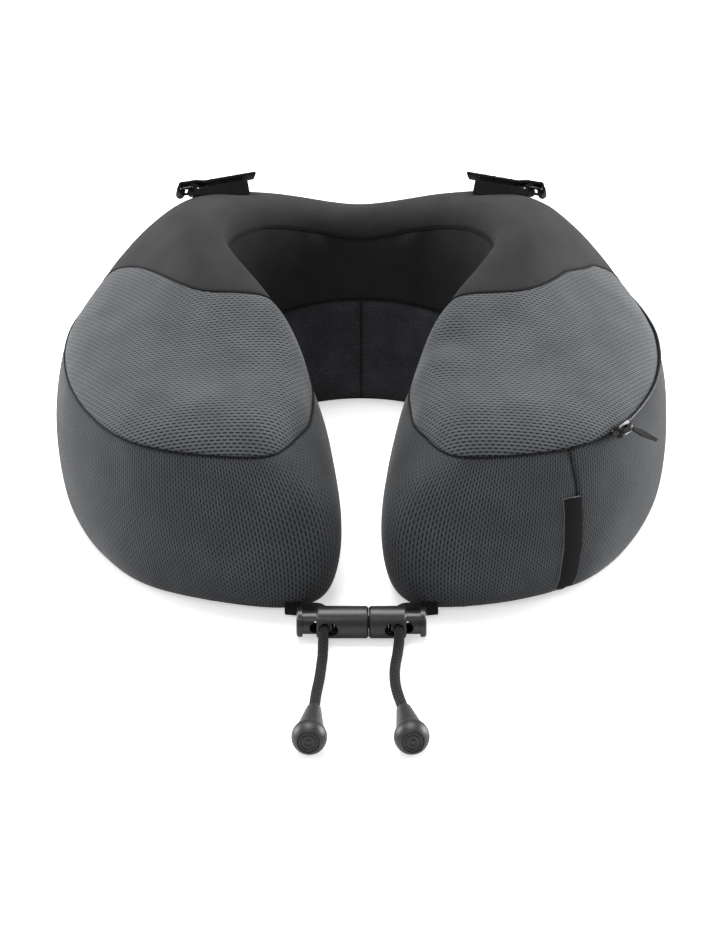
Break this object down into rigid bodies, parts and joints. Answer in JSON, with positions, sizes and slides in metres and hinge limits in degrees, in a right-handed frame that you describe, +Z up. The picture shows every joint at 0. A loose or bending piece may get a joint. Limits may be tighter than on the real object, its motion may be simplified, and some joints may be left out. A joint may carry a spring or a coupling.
{
  "type": "u shaped neck pillow",
  "caption": "U shaped foam neck pillow in a sewn mesh and jersey cover, with a side zip, folded seat straps and a cord clasp with bell shaped cord ends.",
  "frame": {"origin": "on the ground below the middle of the pillow, with the cords and the clasp left out", "axes": "+Z up, +Y to the back of the neck, the opening faces -Y, +X to the right of someone who faces the opening"},
  "size_m": [0.28, 0.3433, 0.1224],
  "materials": {
    "mesh_cloth": "open mesh knit",
    "jersey": "smooth jersey",
    "inner_cloth": "brushed knit",
    "foam": "soft foam",
    "webbing": "woven",
    "hook_and_loop": "pile",
    "cord": "braided",
    "label": "woven satin",
    "black_plastic": "satin",
    "black_coil": "matte",
    "black_metal": "satin",
    "spring_steel": "bright"
  },
  "bodies": {
    "pillow": {"foam_core": "foam", "shoulder_panel": "jersey", "top_mesh_left": "mesh_cloth", "top_mesh_right": "mesh_cloth", "side_band_left": "mesh_cloth", "side_band_right_front": "mesh_cloth", "side_band_right_rear": "mesh_cloth", "inner_upper_panel": "inner_cloth", "inner_lower_left": "inner_cloth", "inner_lower_right": "inner_cloth", "base_panel": "inner_cloth", "zip_chain": "black_coil", "side_label": "label", "strap_base_left": "webbing", "strap_base_right": "webbing", "loop_patch_left": "hook_and_loop", "loop_patch_right": "hook_and_loop", "cord_tab_left": "webbing", "cord_tab_right": "webbing", "cord_lead_left": "cord", "cord_lead_right": "cord"},
    "zip_slider": {"zip_slider": "black_metal"},
    "zip_pull": {"zip_pull": "black_plastic"},
    "clasp_left": {"clasp_barrel_left": "black_plastic", "clasp_spring_left": "spring_steel", "cord_tail_left": "cord", "cord_bell_left": "black_plastic", "bell_plug_left": "black_plastic"},
    "clasp_right": {"clasp_barrel_right": "black_plastic", "clasp_snap_pin": "black_plastic", "clasp_spring_right": "spring_steel", "cord_tail_right": "cord", "cord_bell_right": "black_plastic", "bell_plug_right": "black_plastic"},
    "plunger_left": {"clasp_plunger_left": "black_plastic"},
    "plunger_right": {"clasp_plunger_right": "black_plastic"},
    "strap_ring_left": {"strap_ring_left": "black_metal"},
    "strap_ring_right": {"strap_ring_right": "black_metal"},
    "strap_flap_left": {"strap_flap_left": "webbing", "hook_patch_left": "hook_and_loop"},
    "strap_flap_right": {"strap_flap_right": "webbing", "hook_patch_right": "hook_and_loop"}
  },
  "joints": [
    {"name": "zip_run", "type": "hinge", "parent": "pillow", "child": "zip_slider", "pos_m": [-0.02, 0.005, 0.07067], "axis": [0, 0, 1], "range_deg": [0, 50]},
    {"name": "zip_pull_swing", "type": "hinge", "parent": "zip_slider", "child": "zip_pull", "pos_m": [0.11313, -0.08378, 0.07301], "axis": [0.2368, 0.9715, 0], "range_deg": [-115, 50]},
    {"name": "clasp_left_part", "type": "slide", "parent": "pillow", "child": "clasp_left", "axis": [-1, 0, 0], "range_m": [0, 0.025]},
    {"name": "clasp_right_part", "type": "slide", "parent": "pillow", "child": "clasp_right", "axis": [1, 0, 0], "range_m": [0, 0.025]},
    {"name": "lock_left_press", "type": "slide", "parent": "clasp_left", "child": "plunger_left", "axis": [1, 0, 0], "range_m": [0, 0.0032], "stiffness_N_per_m": 300, "deforming": ["clasp_spring_left"]},
    {"name": "lock_right_press", "type": "slide", "parent": "clasp_right", "child": "plunger_right", "axis": [-1, 0, 0], "range_m": [0, 0.0032], "stiffness_N_per_m": 300, "deforming": ["clasp_spring_right"]},
    {"name": "strap_ring_right_lift", "type": "hinge", "parent": "pillow", "child": "strap_ring_right", "pos_m": [0.08008, 0.08499, 0.11183], "axis": [-0.0962, -0.8668, 0.4893], "range_deg": [0, 30]},
    {"name": "strap_flap_right_open", "type": "hinge", "parent": "strap_ring_right", "child": "strap_flap_right", "pos_m": [0.08546, 0.08404, 0.11121], "axis": [0.0962, 0.8668, -0.4893], "range_deg": [0, 150]},
    {"name": "strap_ring_left_lift", "type": "hinge", "parent": "pillow", "child": "strap_ring_left", "pos_m": [-0.08008, 0.08499, 0.11183], "axis": [-0.0962, 0.8668, -0.4893], "range_deg": [0, 30]},
    {"name": "strap_flap_left_open", "type": "hinge", "parent": "strap_ring_left", "child": "strap_flap_left", "pos_m": [-0.08546, 0.08404, 0.11121], "axis": [0.0962, -0.8668, 0.4893], "range_deg": [0, 150]}
  ],
  "couplings": [
    {"joint": "strap_flap_right_open", "follows": "strap_ring_right_lift", "ratio": 5},
    {"joint": "strap_flap_left_open", "follows": "strap_ring_left_lift", "ratio": 5}
  ]
}
